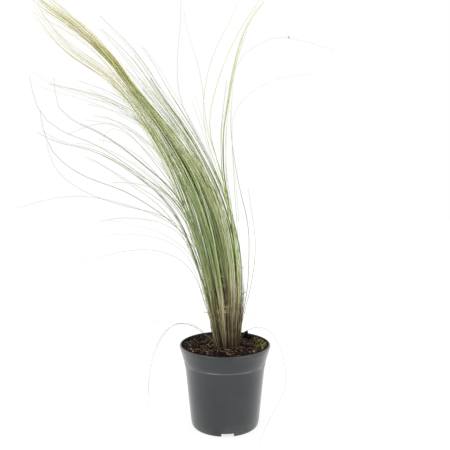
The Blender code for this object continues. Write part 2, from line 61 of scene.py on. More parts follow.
print("stage: camera, floor and light")
studio = dict(
    cameraHeight=0.316, cameraDistance=0.70, pitch=4.19, focalPixels=538, pictureWidth=450,
    sensor=36, world=1.0, sun=0.6, floorHalf=4, floorColour=(0.2, 0.2, 0.2, 1), floorGlow=0.78,
    # Each lamp's place, the point it shines at, its size and its power
    lamps=dict(
        keyLight=((-0.9, -1.1, 1.3), (0, 0, 0.2), 0.8, 5.4),
        fillLight=((1.2, -0.7, 0.7), (0, 0, 0.15), 0.9, 2.8),
        topLight=((0.1, 0.3, 1.7), (0, 0, 0.2), 1.1, 2.6),
        leftEdgeLight=((-1.3, 0.55, 0.5), (0, 0, 0.15), 0.8, 2.6),
        rightEdgeLight=((1.3, 0.55, 0.5), (0, 0, 0.15), 0.8, 2.6),
    ),
)


def addObject(name, data):
    made = bpy.data.objects.new(name, data)
    bpy.context.scene.collection.objects.link(made)
    return made


def areaLight(name, place, target, size, power):
    lamp = bpy.data.lights.new(name, "AREA")
    lamp.shape = "DISK"
    lamp.size = size
    lamp.energy = power
    made = addObject(name, lamp)
    made.location = place
    made.rotation_euler = (Vector(target) - Vector(place)).to_track_quat("-Z", "Y").to_euler()


def srgb(red, green, blue):
    # Colours read from the photo are 0 to 255 and gamma coded; shaders take linear ones
    values = np.array([red, green, blue]) / 255
    linear = np.where(values < 0.04045, values / 12.92, ((values + 0.055) / 1.055) ** 2.4)
    return (*[float(v) for v in linear], 1.0)


def forms(operation):
    # A Math operation with the socket before the other value, and its reflected form
    return (
        lambda self, other: self.maths(operation, self, other),
        lambda self, other: self.maths(operation, other, self),
    )


class Value:
    # A shader socket that does arithmetic by adding Math nodes
    __add__, __radd__ = forms("ADD")
    __sub__, __rsub__ = forms("SUBTRACT")
    __mul__, __rmul__ = forms("MULTIPLY")

    def __init__(self, graph, socket):
        self.graph = graph
        self.socket = socket

    def maths(self, operation, first, second):
        return self.graph.node("ShaderNodeMath", {"operation": operation}, {0: first, 1: second})

    def above(self, low, high):
        # 0 under low, 1 over high, eased between; low above high turns it round
        rises = float(low < high)
        values = {0: self, 1: min(low, high), 2: max(low, high), 3: 1 - rises, 4: rises}
        return self.graph.node("ShaderNodeMapRange", {"interpolation_type": "SMOOTHSTEP"}, values)


class Material:
    # A Principled material whose nodes are added by name, settings and socket values
    def __init__(self, name, **fixed):
        self.made = bpy.data.materials.new(name)
        self.made.use_nodes = True
        self.nodes = self.made.node_tree.nodes
        self.shader = self.nodes["Principled BSDF"]
        for socket, value in fixed.items():
            self.shader.inputs[socket.replace("_", " ")].default_value = value

    def node(self, kind, settings, values, output=0):
        added = self.nodes.new(kind)
        for key, value in settings.items():
            if key == "stops":
                self.fillRamp(added.color_ramp, value)
            else:
                setattr(added, key, value)
        for key, value in values.items():
            if isinstance(value, Value):
                self.made.node_tree.links.new(value.socket, added.inputs[key])
            else:
                added.inputs[key].default_value = value
        return Value(self, added.outputs[output])

    def fillRamp(self, ramp, stops):
        while len(ramp.elements) < len(stops):
            ramp.elements.new(1.0)
        for element, (at, colour) in zip(ramp.elements, stops):
            element.position = at
            element.color = colour

    def ramp(self, value, stops):
        return self.node("ShaderNodeValToRGB", {"stops": stops}, {"Fac": value})

    def attribute(self, name):
        return self.node("ShaderNodeAttribute", {"attribute_name": name}, {}, "Fac")

    def place(self, stretch=(1, 1, 1)):
        where = self.node("ShaderNodeTexCoord", {}, {}, "Object")
        return self.node("ShaderNodeVectorMath", {"operation": "MULTIPLY"}, {0: where, 1: stretch})

    def joined(self, x, y, z):
        return self.node("ShaderNodeCombineXYZ", {}, {0: x, 1: y, 2: z})

    def noise(self, place, scale, detail=3.0, rough=0.5):
        values = {"Vector": place, "Scale": scale, "Detail": detail, "Roughness": rough}
        return self.node("ShaderNodeTexNoise", {}, values, "Fac")

    def cells(self, place, scale, output="Distance"):
        return self.node("ShaderNodeTexVoronoi", {}, {"Vector": place, "Scale": scale}, output)

    def paint(self, base, *layers):
        self.put("Base Color", self.layered(base, *layers))

    def layered(self, base, *layers):
        # A layer is a factor and the colour it lays over the rest; 6, 7 and 2 are colour sockets
        for factor, over in layers:
            base = self.node("ShaderNodeMix", {"data_type": "RGBA"}, {0: factor, 6: base, 7: over}, 2)
        return base

    def put(self, socket, value):
        self.made.node_tree.links.new(value.socket, self.shader.inputs[socket])

    def bump(self, height, depth, strength):
        values = {"Height": height, "Distance": depth, "Strength": strength}
        self.put("Normal", self.node("ShaderNodeBump", {}, values, "Normal"))


def setUpCamera(scene):
    lens = bpy.data.cameras.new("camera")
    lens.sensor_width = studio["sensor"]
    lens.lens = studio["sensor"] * studio["focalPixels"] / studio["pictureWidth"]
    lens.clip_start = 0.01
    camera = addObject("camera", lens)
    camera.location = (0, -studio["cameraDistance"], studio["cameraHeight"])
    camera.rotation_euler = (radians(90 - studio["pitch"]), 0, 0)
    scene.camera = camera


def setUpLight(scene):
    scene.view_settings.view_transform = "Standard"
    world = bpy.data.worlds.new("paleRoom")
    world.use_nodes = True
    background = world.node_tree.nodes["Background"]
    background.inputs["Color"].default_value = (1, 1, 1, 1)
    background.inputs["Strength"].default_value = studio["world"]
    scene.world = world
    for name, facts in studio["lamps"].items():
        areaLight(name, *facts)
    sun = bpy.data.lights.new("evenLight", "SUN")
    sun.energy = studio["sun"]
    sun.angle = radians(60)
    addObject("evenLight", sun).rotation_euler = (radians(12), radians(-14), 0)


def makeFloor():
    half = studio["floorHalf"]
    mesh = bpy.data.meshes.new("floor")
    corners = [(-half, -half, 0), (half, -half, 0), (half, half, 0), (-half, half, 0)]
    mesh.from_pydata(corners, [], [(0, 1, 2, 3)])
    floor = addObject("floor", mesh)
    paper = Material("paleFloor", Roughness=0.9, Emission_Strength=studio["floorGlow"])
    paper.shader.inputs["Emission Color"].default_value = (1, 1, 1, 1)
    grain = paper.noise(paper.place(), 900.0)
    paper.paint(studio["floorColour"], (grain * 0.05, (0.5, 0.5, 0.5, 1)))
    mesh.materials.append(paper.made)


setUpCamera(bpy.context.scene)
setUpLight(bpy.context.scene)
makeFloor()


def makeMesh(points, groups, uv=None, **facts):
    # groups are arrays of faces with equal corner counts; facts become point attributes
    mesh = bpy.data.meshes.new("made")
    points = np.asarray(points, np.float32).reshape(-1, 3)
    corners = np.concatenate([np.asarray(g, np.int32).ravel() for g in groups])
    counts = np.concatenate([np.full(len(g), np.shape(g)[1], np.int32) for g in groups])
    starts = np.concatenate([[0], np.cumsum(counts)[:-1]]).astype(np.int32)
    mesh.vertices.add(len(points))
    mesh.vertices.foreach_set("co", points.ravel())
    mesh.loops.add(len(corners))
    mesh.loops.foreach_set("vertex_index", corners)
    mesh.polygons.add(len(counts))
    mesh.polygons.foreach_set("loop_start", starts)
    for key, values in facts.items():
        layer = mesh.attributes.new(key, "FLOAT", "POINT")
        layer.data.foreach_set("value", np.asarray(values, np.float32).ravel())
    if uv is not None:
        layer = mesh.uv_layers.new(name="OFBake")
        layer.uv.foreach_set("vector", np.asarray(uv, np.float32).ravel())
    mesh.update(calc_edges=True)
    mesh.shade_smooth()
    return mesh


def addPiece(name, mesh, material, slot, *nodes):
    made = addObject(name, mesh)
    mesh.name = name
    mesh.materials.append(material.made)
    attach(made, "root")
    if nodes:
        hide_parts(*nodes)
    print("   ", name, len(mesh.polygons), "faces")


print("stage: pot")
pot = dict(
    sides=144, height=107.5 * mm, rim=60 * mm, edge=1.2 * mm, collar=53.4 * mm, step=53.8 * mm,
    stepHeight=84 * mm, bead=0.25 * mm, foot=44.4 * mm, skirt=41.4 * mm, wall=1.4 * mm,
    pad=25 * mm, channel=6 * mm, drains=8, drainRadius=4 * mm,
    notches=4, notchTurn=4.5, notchDepth=8 * mm, notchWidth=16 * mm, notchHeight=4.5 * mm,
    colour=srgb(16, 21, 22), cloudy=srgb(28, 31, 38), streaky=srgb(26, 29, 31),
    ledgeHighlight=srgb(122, 126, 130), specks=srgb(130, 126, 118), dust=srgb(92, 90, 84), roughness=0.24,
)


def arc(middleR, middleZ, radius, start, end, steps):
    angles = np.radians(np.linspace(start, end, steps))
    return [(middleR + radius * cos(a), middleZ + radius * sin(a)) for a in angles]


def rounded(line, cuts):
    # Cuts the corners off a line again and again, and keeps its two ends
    line = np.asarray(line, float)
    for _ in range(cuts):
        before, after = line[:-1], line[1:]
        cut = np.stack([0.75 * before + 0.25 * after, 0.25 * before + 0.75 * after], axis=1)
        line = np.vstack([line[:1], cut.reshape(-1, line.shape[1]), line[-1:]])
    return line


def potInside():
    rim, height, foot, wall = pot["rim"], pot["height"], pot["foot"], pot["wall"]
    floor = pot["channel"] + wall
    return [
        (rim - 2.6 * mm, height - 4 * mm), (rim - 3.5 * mm, height - 9 * mm),
        (rim - 5.2 * mm, height - 15 * mm), (rim - 6.6 * mm, height - 20 * mm),
        (pot["step"] - 1.9 * mm - wall, pot["stepHeight"] - 12 * mm),
        (foot + 0.9 * mm - wall, floor + 1.5 * mm), (foot - 1 * mm - wall, floor),
        (pot["pad"] + 2 * mm, floor), (pot["pad"] - 0.6 * mm, wall), (0, wall),
    ]


def potOutside():
    # From underneath, round the skirt, up the wall and over the rolled rim
    pad, channel, skirt, foot = pot["pad"], pot["channel"], pot["skirt"], pot["foot"]
    step, ledge, collar, bead = pot["step"], pot["stepHeight"], pot["collar"], pot["bead"]
    rim, height, edge = pot["rim"], pot["height"], pot["edge"]
    underside = [
        (0, 0), (pad - 1 * mm, 0), (pad, 0.2 * mm), (pad + 2.4 * mm, channel),
        (skirt - 0.6 * mm, channel), (skirt, 0.3 * mm), (skirt + 0.3 * mm, 0),
    ]
    lower = [
        (foot - 1.6 * mm, 0), (foot - 0.5 * mm, 0.5 * mm), (foot + 0.3 * mm, 3 * mm),
        (foot + 0.6 * mm, 5 * mm), (foot + 1.4 * mm, 10 * mm), (step - 1.9 * mm, ledge - 12 * mm),
        (step - 0.2 * mm, ledge - 2 * mm), (step + bead, ledge - 1.1 * mm),
        (step + bead, ledge - 0.5 * mm), (collar, ledge + 0.6 * mm),
    ]
    upper = [
        lower[-1], (rim - 5.2 * mm, height - 20 * mm), (rim - 3.8 * mm, height - 15 * mm),
        (rim - 2.1 * mm, height - 9 * mm), (rim - 0.9 * mm, height - 5.5 * mm),
    ]
    roll = arc(rim - edge, height - edge, edge, -20, 130, 9)
    return np.vstack([underside, rounded(lower, 2), rounded(upper, 2)[1:], roll])


def between(index):
    # Quads from each ring of points to the next, all the way round
    low, high = index[..., :-1, :], index[..., 1:, :]
    quads = [low, np.roll(low, -1, axis=-1), np.roll(high, -1, axis=-1), high]
    return np.stack(quads, axis=-1).reshape(-1, 4)


def turned(profile, sides):
    # A surface of revolution as quads, with single points where the profile meets the axis
    profile = np.asarray(profile, float)
    angles = np.linspace(0, 2 * pi, sides, endpoint=False)
    rings = np.stack([
        profile[:, None, 0] * np.cos(angles), profile[:, None, 0] * np.sin(angles),
        np.repeat(profile[:, None, 1], sides, axis=1),
    ], axis=2)
    index = np.arange(len(profile) * sides).reshape(len(profile), sides)
    shape = bmesh.new()
    shape.from_mesh(makeMesh(rings, [between(index)]))
    bmesh.ops.remove_doubles(shape, verts=shape.verts, dist=0.005 * mm)
    bmesh.ops.recalc_face_normals(shape, faces=shape.faces)
    return shape


def asMesh(shape):
    mesh = bpy.data.meshes.new("made")
    shape.to_mesh(mesh)
    shape.free()
    return mesh


def drainTool(n):
    # A round post that cuts drain n through the raised channel
    angle = 2 * pi * (n + 0.5) / pot["drains"]
    ring = (pot["pad"] + pot["skirt"]) / 2 + 1 * mm
    at = Matrix.Translation((ring * cos(angle), ring * sin(angle), pot["channel"]))
    radius = pot["drainRadius"]
    shape = bmesh.new()
    bmesh.ops.create_cone(
        shape, cap_ends=True, segments=32, radius1=radius, radius2=radius,
        depth=1.5 * pot["channel"], matrix=at,
    )
    return bpy.data.objects.new("drain", asMesh(shape))


def notchTool(n):
    # A block that cuts notch n into the foot's edge
    angle = 2 * pi * n / pot["notches"] + radians(pot["notchTurn"])
    size = Matrix.Diagonal((pot["notchDepth"], pot["notchWidth"], 2 * pot["notchHeight"], 1))
    at = Matrix.Rotation(angle, 4, "Z") @ Matrix.Translation((pot["foot"] - 1 * mm, 0, 0)) @ size
    shape = bmesh.new()
    bmesh.ops.create_cube(shape, size=1, matrix=at)
    return bpy.data.objects.new("notch", asMesh(shape))


def makePot():
    profile = np.vstack([potOutside(), rounded(potInside(), 1)])
    body = addObject("pot", asMesh(turned(profile, pot["sides"])))
    tools = bpy.data.collections.new("potTools")
    bpy.context.scene.collection.children.link(tools)
    for n in range(pot["drains"]):
        tools.objects.link(drainTool(n))
    for n in range(pot["notches"]):
        tools.objects.link(notchTool(n))
    cut = body.modifiers.new("openings", "BOOLEAN")
    cut.operation = "DIFFERENCE"
    cut.operand_type = "COLLECTION"
    cut.collection = tools
    cut.solver = "EXACT"
    bpy.context.view_layer.update()
    mesh = bpy.data.meshes.new_from_object(body.evaluated_get(bpy.context.evaluated_depsgraph_get()))
    for tool in list(tools.objects):
        bpy.data.objects.remove(tool)
    bpy.data.collections.remove(tools)
    bpy.data.objects.remove(body)
    mesh.materials.clear()
    mesh.shade_smooth()
    mesh.set_sharp_from_angle(angle=radians(40))
    addPiece("potShell", mesh, potMaterial(), "pot_plastic", "nursery_pot")


def potMaterial():
    skin = Material("pottedPlastic", Specular_IOR_Level=0.36, Coat_Weight=0.7, Coat_Roughness=0.28)
    where = skin.place()
    level = skin.node("ShaderNodeSeparateXYZ", {}, {0: where}, "Z")
    height, step = pot["height"], pot["stepHeight"]
    cloud = skin.noise(where, 26.0, 4.0, 0.6)
    flow = skin.noise(skin.place((260, 260, 9)), 1.0, 2.0)
    grit = skin.noise(where, 2600.0, 2.0)
    specks = skin.cells(where, 420.0).above(0.16, 0.05) * skin.noise(where, 60.0).above(0.52, 0.62)
    # Dust low down and near the rim, and a painted highlight along the step's edge
    low = level.above(20 * mm, 0) * cloud.above(0.35, 0.7)
    high = level.above(height - 8.5 * mm, height - 1 * mm) * cloud.above(0.4, 0.65)
    ledge = level.above(step - 0.7 * mm, step - 0.2 * mm) * level.above(step + 1 * mm, step + 0.4 * mm)
    skin.paint(
        pot["colour"], (cloud.above(0.3, 0.7), pot["cloudy"]),
        (flow.above(0.35, 0.75) * 0.25, pot["streaky"]), (low * 0.45 + high * 0.3, pot["dust"]),
        (ledge * 0.38, pot["ledgeHighlight"]), (specks * 0.55, pot["specks"]),
    )
    skin.put("Roughness", pot["roughness"] + cloud * 0.14 + specks * 0.3 + low * 0.2)
    skin.bump(grit * 0.5 + flow * 0.6 + specks, 0.06 * mm, 0.8)
    return skin


makePot()

print("stage: soil")
# inset is from the pot's rim to the soil's edge; reach is how far out its loose bits may lie
soil = dict(
    edgeHeight=103 * mm, inset=4.6 * mm, gap=0.5 * mm, spread=0.7 * mm, rings=84, sides=220,
    mound=3.5 * mm, relief=2.2 * mm, lump=7 * mm, banked=3.2 * mm, bankLump=14 * mm,
    crumb=2.6 * mm, grain=1.1 * mm, reach=53.5 * mm, crown=(3 * mm, -2 * mm),
    dark=srgb(8, 6, 5), brown=srgb(25, 17, 13), red=srgb(84, 53, 36), pale=srgb(176, 160, 140),
    hollowShade=srgb(14, 10, 8), poreShade=srgb(18, 13, 10),
)


def outShare(x, y):
    # 0 in the pot's middle and 1 at the soil's edge
    return hypot(x, y) / (pot["rim"] - soil["inset"])


def bumpy(x, y, layer, size):
    # Noise from -1 to 1 with lumps of the given size; each layer is another pattern
    return noise.noise(Vector((x, y, layer)) / size)


def soilHeight(x, y):
    # The solid's own relief
    reach = outShare(x, y)
    lump = bumpy(x, y, 0.3, soil["lump"]) + 0.6 * bumpy(x, y, 2.1, soil["lump"] / 2)
    mound = soil["mound"] * max(0, 1 - reach**2)
    return soil["edgeHeight"] + mound + soil["relief"] * lump * min(1, 3 * (1.02 - reach))


def crumbHeight(x, y):
    # The solid's relief with finer crumbs on it, banked up towards the wall
    reach = outShare(x, y)
    fine = 0.9 * bumpy(x, y, 0.7, soil["crumb"]) + 0.5 * bumpy(x, y, 1.7, soil["grain"])
    uneven = 0.8 + 0.5 * bumpy(x, y, 5, soil["bankLump"])
    bank = soil["banked"] * max(0, min(1, 2.2 * (reach - 0.5))) * uneven
    return soilHeight(x, y) + bank + fine * mm * min(1, 6 * (1.03 - reach))


def makeSoil():
    inside = [(max(0, r - soil["gap"]), z + soil["gap"]) for r, z in potInside()[1:]]
    wall, wallZ = inside[0]
    across = (wall + soil["spread"]) * (np.arange(soil["rings"] + 1) / soil["rings"]) ** 0.8
    top = [(r, soil["edgeHeight"]) for r in across]
    shape = turned(np.vstack([top, rounded(inside, 1)]), soil["sides"])
    for vertex in shape.verts:
        x, y, z = vertex.co
        if z > wallZ + 1 * mm:
            vertex.co.z = crumbHeight(x, y)
    mesh = asMesh(shape)
    mesh.shade_smooth()
    addPiece("soilBed", mesh, soilMaterial(), "potting_soil", "potting_soil")


def soilMaterial():
    peat = Material("peat", Specular_IOR_Level=0.1)
    where = peat.place()
    coarse = peat.noise(where, 130.0, 5.0, 0.65)
    fine = peat.noise(where, 900.0, 4.0, 0.7)
    bits = peat.cells(where, 330.0, "Color")
    level = peat.node("ShaderNodeSeparateColor", {}, {0: bits})
    peat.paint(
        soil["dark"], (coarse.above(0.35, 0.7), soil["brown"]),
        (level.above(0.8, 0.88) * 0.7, soil["red"]), (level.above(0.985, 0.99) * 0.7, soil["pale"]),
        # painted shade in the soil's small hollows, where the fine noise is low
        (fine.above(0.62, 0.3) * 0.7, soil["hollowShade"]),
    )
    peat.put("Roughness", 0.82 + fine * 0.18)
    peat.bump(coarse + fine * 0.6, 0.9 * mm, 0.9)
    return peat


def lumps(places, sizes, stretch, seeds, cuts):
    # Small lumps as one mesh: a cut sphere each, pushed about by noise
    shape = bmesh.new()
    bmesh.ops.create_icosphere(shape, subdivisions=cuts, radius=1)
    base = np.array([v.co[:] for v in shape.verts])
    faces = np.array([[v.index for v in f.verts] for f in shape.faces])
    shape.free()
    count = len(places)
    points = np.zeros((count, len(base), 3))
    for n in range(count):
        shift = Vector((seeds[n] * 40, n, 0))
        swell = [1 + 0.45 * noise.noise(Vector(p) * 1.7 + shift) for p in base]
        turn = Matrix.Rotation(seeds[n] * anyTurn, 3, "Z") @ Matrix.Rotation(seeds[n] * 9.7, 3, "X")
        body = base * np.array(swell)[:, None] * stretch[n]
        points[n] = body @ np.array(turn).T * sizes[n] + places[n]
    index = faces[None] + (np.arange(count) * len(base))[:, None, None]
    return points, index.reshape(-1, 3), len(base)


def scattered(count, inner, outer):
    # Places more than inner from the crown's middle and less than outer from the pot's
    found = []
    while len(found) < count:
        x, y = draw.uniform(-outer, outer, 2)
        gap = hypot(x - soil["crown"][0], y - soil["crown"][1])
        if hypot(x, y) < outer and gap > inner:
            found.append((x, y, crumbHeight(x, y)))
    return np.array(found)


# size and sizes are radii in mm
crumbs = dict(
    count=1500, size=1.7, inner=17 * mm, outer=soil["reach"], lift=0, cuts=1,
    skin="crumbSkin", redder=0, laid=(),
)
chips = dict(
    count=170, sizes=(1.3, 3.9), forms=((0.9, 1.5), (0.4, 0.8), (0.18, 0.4)),
    inner=19 * mm, outer=50 * mm, lift=0.6 * mm, cuts=2, skin="barkSkin", redder=0.25,
    # Place, size and form; three of these are the bark that stands behind the crown
    laid=(
        ((29, 27, 112), 4.2, (0.8, 0.7, 1.25)), ((34.5, 24, 109.5), 3.6, (1.3, 0.7, 0.6)),
        ((26, 32, 110.5), 3.2, (0.9, 1, 0.8)), ((-24, 24, 106.5), 2.8, (1.2, 0.8, 0.7)),
    ),
)


def strew(name, kind, sizes, stretch):
    # Loose bits of one kind as one piece; the ones listed in laid are dark
    seeds = draw.random(kind["count"])
    places = scattered(kind["count"], kind["inner"], kind["outer"]) + (0, 0, kind["lift"])
    for n, (at, size, form) in enumerate(kind["laid"]):
        places[n] = np.array(at) * mm
        sizes[n] = size * mm
        stretch[n] = form
        seeds[n] = 0.05 * n
    points, faces, each = lumps(places, sizes, stretch, seeds, kind["cuts"])
    mesh = makeMesh(points, [faces], tone=np.repeat(seeds, each))
    addPiece(name, mesh, bitsMaterial(kind["skin"], kind["redder"]), "potting_soil")


def makeCrumbs():
    count = crumbs["count"]
    sizes = draw.uniform(0.45, 1.0, count) ** 2 * crumbs["size"] * mm
    strew("soilCrumbs", crumbs, sizes, draw.uniform(0.6, 1.2, (count, 3)))


def makeChips():
    count = chips["count"]
    sizes = draw.uniform(*chips["sizes"], count) * mm
    strew("barkChips", chips, sizes, np.stack([draw.uniform(*f, count) for f in chips["forms"]], 1))


def bitsMaterial(name, redder):
    skin = Material(name, Specular_IOR_Level=0.14)
    tone = skin.attribute("tone")
    grain = skin.noise(skin.place((1, 1, 3)), 800.0, 4.0, 0.65)
    skin.paint(
        soil["dark"], (tone.above(0.2, 0.6), soil["brown"]),
        (tone.above(0.74 - redder, 1.0), soil["red"]), (tone.above(0.985, 0.99), soil["pale"]),
        # painted shade in the pits of the crumbs and chips, where the grain is low
        (grain.above(0.6, 0.35) * 0.7, soil["poreShade"]),
    )
    skin.put("Roughness", 0.75 + grain * 0.2)
    skin.bump(grain + skin.noise(skin.place(), 260.0), 0.5 * mm, 0.9)
    return skin


def diamond(thickness):
    # A stalk's section, two wide, with the given half thickness
    return [(1, 0), (0, thickness), (-1, 0), (0, -thickness)]


fiveSided = [(1, 0), (0.3, 0.8), (-0.8, 0.6), (-0.8, -0.6), (0.3, -0.8)]


def carried(lines, section, radii, turns):
    # Sections carried along many lines of equal point counts without twisting about them
    ahead = np.gradient(lines, axis=1)
    ahead /= np.linalg.norm(ahead, axis=2)[:, :, None]
    guide = np.stack([np.cos(turns), np.sin(turns), 0.13 + 0 * turns], axis=1)
    rings = []
    for n in range(lines.shape[1]):
        way = ahead[:, n]
        guide = guide - way * (guide * way).sum(axis=1)[:, None]
        guide = guide / np.linalg.norm(guide, axis=1)[:, None]
        other = np.cross(way, guide)
        ring = [lines[:, n] + radii[:, n, None] * (a * guide + b * other) for a, b in section]
        rings.append(np.stack(ring, axis=1))
    return np.stack(rings, axis=1)


def stalkMap(count, rings, sides):
    # The bake map: a column for each stalk, and a point in it for each of its two ends
    column, level, side = np.indices((count, rings - 1, sides))
    left, right = [(column + (side + share) / sides) / count for share in (0.08, 0.92)]
    bottom, top = level / (rings - 1), (level + 1) / (rings - 1)
    faces = np.stack([left, bottom, right, bottom, right, top, left, top], axis=-1)
    across = np.tile(((np.arange(count) + 0.5) / count)[:, None], (2, sides))
    along = np.repeat([[0.002], [0.998]], count, axis=0) + np.zeros((1, sides))
    return np.vstack([faces.reshape(-1, 2), np.stack([across, along], axis=-1).reshape(-1, 2)])


def stalkMesh(lines, radii, section, turns, **facts):
    # One closed stalk per line. A fact is one value for each stalk or for each point of it.
    count, rings, sides = lines.shape[0], lines.shape[1], len(section)
    points = carried(lines, section, radii, turns)
    index = np.arange(count * rings * sides).reshape(count, rings, sides)
    ends = np.concatenate([index[:, 0, ::-1], index[:, -1]])
    facts["part"] = np.linspace(0, 1, rings)
    spread = {key: np.repeat(np.broadcast_to(v, (count, rings)), sides) for key, v in facts.items()}
    spread["edge"] = np.tile(np.arange(sides) / sides, count * rings)
    return makeMesh(points, [between(index), ends], stalkMap(count, rings, sides), **spread)


# Lengths, rises and radii are in mm
fibres = dict(
    count=260, rings=9, inner=18 * mm, outer=51 * mm, crown=27 * mm, lengths=(3, 15), bend=0.9,
    rises=(0.2, 1.2), radii=(0.1, 0.24),
    brown=srgb(96, 66, 46), straw=srgb(190, 166, 132), dark=srgb(70, 46, 34),
)


def makeFibres():
    # Some lie all over the soil, the rest are old roots and straw round the crown
    count, rings = fibres["count"], fibres["rings"]
    around = count // 3
    allOver = scattered(count - around, fibres["inner"], fibres["outer"])
    places = np.vstack([allOver, scattered(around, fibres["inner"], fibres["crown"])])
    lines = np.zeros((count, rings, 3))
    for n in range(count):
        length = draw.uniform(*fibres["lengths"]) * mm
        way = draw.uniform(0, 2 * pi)
        bend = draw.normal(0, fibres["bend"])
        rise = draw.uniform(*fibres["rises"]) * mm
        for k in range(rings):
            t = k / (rings - 1)
            angle = way + bend * t
            x = places[n, 0] + length * t * cos(angle)
            y = places[n, 1] + length * t * sin(angle)
            past = max(1, hypot(x, y) / soil["reach"])
            x, y = x / past, y / past
            lines[n, k] = (x, y, crumbHeight(x, y) + 0.5 * mm + rise * sin(pi * t))
    radii = draw.uniform(*fibres["radii"], count)[:, None] * mm * np.linspace(1.1, 0.6, rings)
    tone = draw.random(count)[:, None]
    turns = draw.uniform(0, 6, count)
    mesh = stalkMesh(lines, radii, diamond(0.8), turns, tone=tone)
    root = Material("fibreSkin", Roughness=0.8, Specular_IOR_Level=0.3)
    streak = root.noise(root.place(), 1400.0)
    root.paint(
        fibres["brown"], (root.attribute("tone"), fibres["straw"]),
        (streak.above(0.4, 0.7) * 0.6, fibres["dark"]),
    )
    root.bump(streak, 0.2 * mm, 0.7)
    addPiece("soilFibres", mesh, root, "potting_soil")


# The shoots stand round an angle from the right, and sizes are in mm
moss = dict(
    count=430, rings=4, angle=-0.05, spread=0.27, edge=53.2, band=5.0, clump=5, heights=(0.8, 3.6),
    radii=(0.3, 0.75), green=srgb(44, 46, 20), yellow=srgb(176, 170, 92), dead=srgb(48, 40, 24),
)


def makeMoss():
    # It grows in an uneven band along the wall on the right
    count, rings = moss["count"], moss["rings"]
    lines = np.zeros((count, rings, 3))
    radii = np.zeros((count, rings))
    for n in range(count):
        while True:
            angle = draw.normal(moss["angle"], moss["spread"])
            out = (moss["edge"] - abs(draw.normal(0, moss["band"]))) * mm
            x, y = out * cos(angle), out * sin(angle)
            if bumpy(x, y, 8, moss["clump"] * mm) > draw.uniform(-0.35, 0.25):
                break
        lean = draw.normal(0, 0.5, 2)
        tall = draw.uniform(*moss["heights"]) * mm
        ground = crumbHeight(x, y) - 0.3 * mm
        for k in range(rings):
            t = k / (rings - 1)
            lines[n, k] = (x + lean[0] * tall * t * t, y + lean[1] * tall * t * t, ground + tall * t)
            wide = draw.uniform(*moss["radii"]) * mm * (1.15 - t)
            radii[n, k] = wide * (0.7 + 0.6 * sin(pi * t))
    tone = draw.random(count)[:, None]
    mesh = stalkMesh(lines, radii, fiveSided, draw.uniform(0, 6, count), tone=tone)
    leaf = Material("mossSkin", Roughness=0.7, Specular_IOR_Level=0.3)
    dull = leaf.noise(leaf.place(), 500.0).above(0.45, 0.7)
    leaf.paint(
        moss["green"], (leaf.attribute("tone").above(0.35, 0.95), moss["yellow"]),
        (dull * 0.7, moss["dead"]),
    )
    leaf.bump(leaf.noise(leaf.place(), 3000.0), 0.2 * mm, 0.8)
    addPiece("mossPatch", mesh, leaf, "potting_soil")


makeSoil()
makeCrumbs()
makeChips()
makeFibres()
makeMoss()

print("stage: grass")
grass = dict(
    rings=26, steps=240, strandSize=5, bound=0.7, boundSlack=0.05, freeSlack=0.32, deadShare=0.1,
    taper=((0, 0.1, 0.5, 1), (1.35, 1.15, 0.95, 0.35)), lowest=1.2 * mm, strayRise=0.12,
    waist=0.84, waistTop=172 * mm, waistReach=30 * mm, strawFrom=0.45, seedAt=82 * mm,
    stripes=(
        (0.0, srgb(58, 78, 38)), (0.15, srgb(108, 146, 66)), (0.4, srgb(156, 186, 100)),
        (0.66, srgb(200, 210, 138)), (0.9, srgb(240, 242, 212)),
    ),
    dried=((0.0, srgb(180, 186, 88)), (0.5, srgb(226, 218, 140)), (1.0, srgb(252, 242, 208))),
    husks=(
        (0.0, srgb(40, 29, 21)), (0.38, srgb(94, 75, 52)), (0.7, srgb(160, 138, 102)),
        (1.0, srgb(236, 222, 188)),
    ),
    umber=srgb(62, 47, 34), grey=srgb(100, 106, 84), fresh=srgb(176, 184, 108),
)

# What a lock has unless its own entry says otherwise, in mm. Its foot is sheath wide, with its
# strips as far out as around says. width is half a blade's. shortest is the shortest blade's share
# of the path, and a high even makes more of them short. stray is how far blades wander, and peel
# the share that turns away at the tip. low is how much lower the green starts, in metres.
plainLock = dict(
    sheath=4.3, sheaths=80, around=1.7, width=0.38, shortest=0.6, even=1.2, stray=1.2, peel=0.15,
    dry=0.15, grey=0.35, light=0, low=0, strayWidths=(), strayGrey=0,
)

# A lock's middle line runs through its path, from where its sheath stands in the crown. girth is
# its radius at even steps along that line, and hairs is how many fine blades it has.
locks, strays = {}, {}
locks["ponytail"] = dict(
    plainLock, sheath=9.6, around=1.1, sheaths=230, hairs=220, width=0.52, shortest=0.5, even=1.45,
    stray=0.8, dry=0.5, grey=0.05, light=0.05,
    girth=(7, 12, 15, 16, 13, 9, 6.5, 5.5, 6, 9, 15),
    path=((3, -2, 103), (4, -2, 144), (2, -2, 175), (-3, -2, 210), (-12, -3, 254), (-25, -3, 297),
          (-46, -3, 340), (-74, -3, 383), (-101, -3, 418), (-121, -3, 442), (-135, -3, 463),
          (-151, -4, 481), (-171, -4, 501), (-186, -4, 514), (-203, -4, 527), (-225, -4, 542),
          (-248, -4, 564)),
)
locks["under_lock"] = dict(
    plainLock, sheaths=84, hairs=34, even=0.8, stray=1.0, dry=0.8, grey=0.1, light=0.06, low=0.05,
    strayWidths=(0.3, 0.3, 0.3, 0.34, 0.2, 0.24, 0.24), strayGrey=0.75,
    girth=(4.4, 6, 7, 8, 8, 7, 7, 8, 10),
    path=((-13, -4, 103), (-17, -4, 167), (-27, -5, 211), (-38, -6, 254), (-52, -7, 297),
          (-69, -8, 340), (-90, -9, 378), (-114, -10, 416), (-139, -11, 447), (-163, -11, 465),
          (-190, -12, 482), (-210, -13, 501), (-226, -13, 522), (-239, -14, 542)),
)
